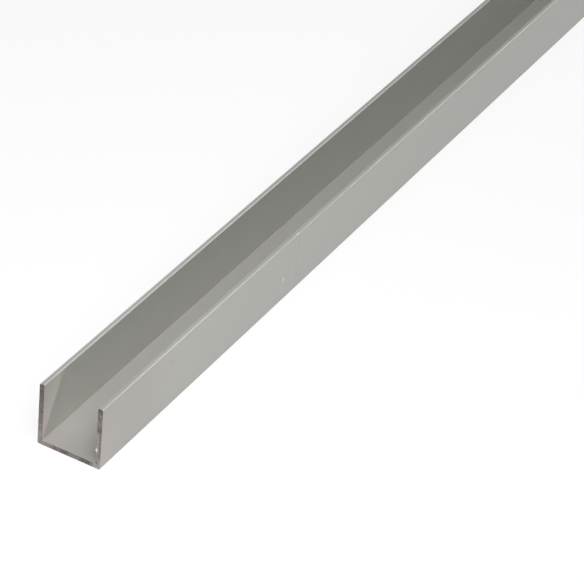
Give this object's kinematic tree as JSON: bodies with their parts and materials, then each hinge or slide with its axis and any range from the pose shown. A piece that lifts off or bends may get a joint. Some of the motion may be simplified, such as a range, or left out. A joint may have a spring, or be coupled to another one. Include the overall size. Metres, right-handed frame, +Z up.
{
  "type": "aluminium channel section",
  "caption": "Straight U-shaped aluminium channel with a flat web, equal upright flanges and a square open groove, sawn square at both ends.",
  "frame": {"origin": "middle of the web's underside, which is the bottom centre of the bounding box", "axes": "+X across the web, +Y along the length away from the pictured end, +Z up out of the groove"},
  "size_m": [0.02, 1, 0.02],
  "materials": {
    "anodised_aluminium": "natural silver anodised, satin; bare sawn metal on the two ends"
  },
  "bodies": {
    "root": {"channel": "anodised_aluminium"}
  },
  "joints": []
}
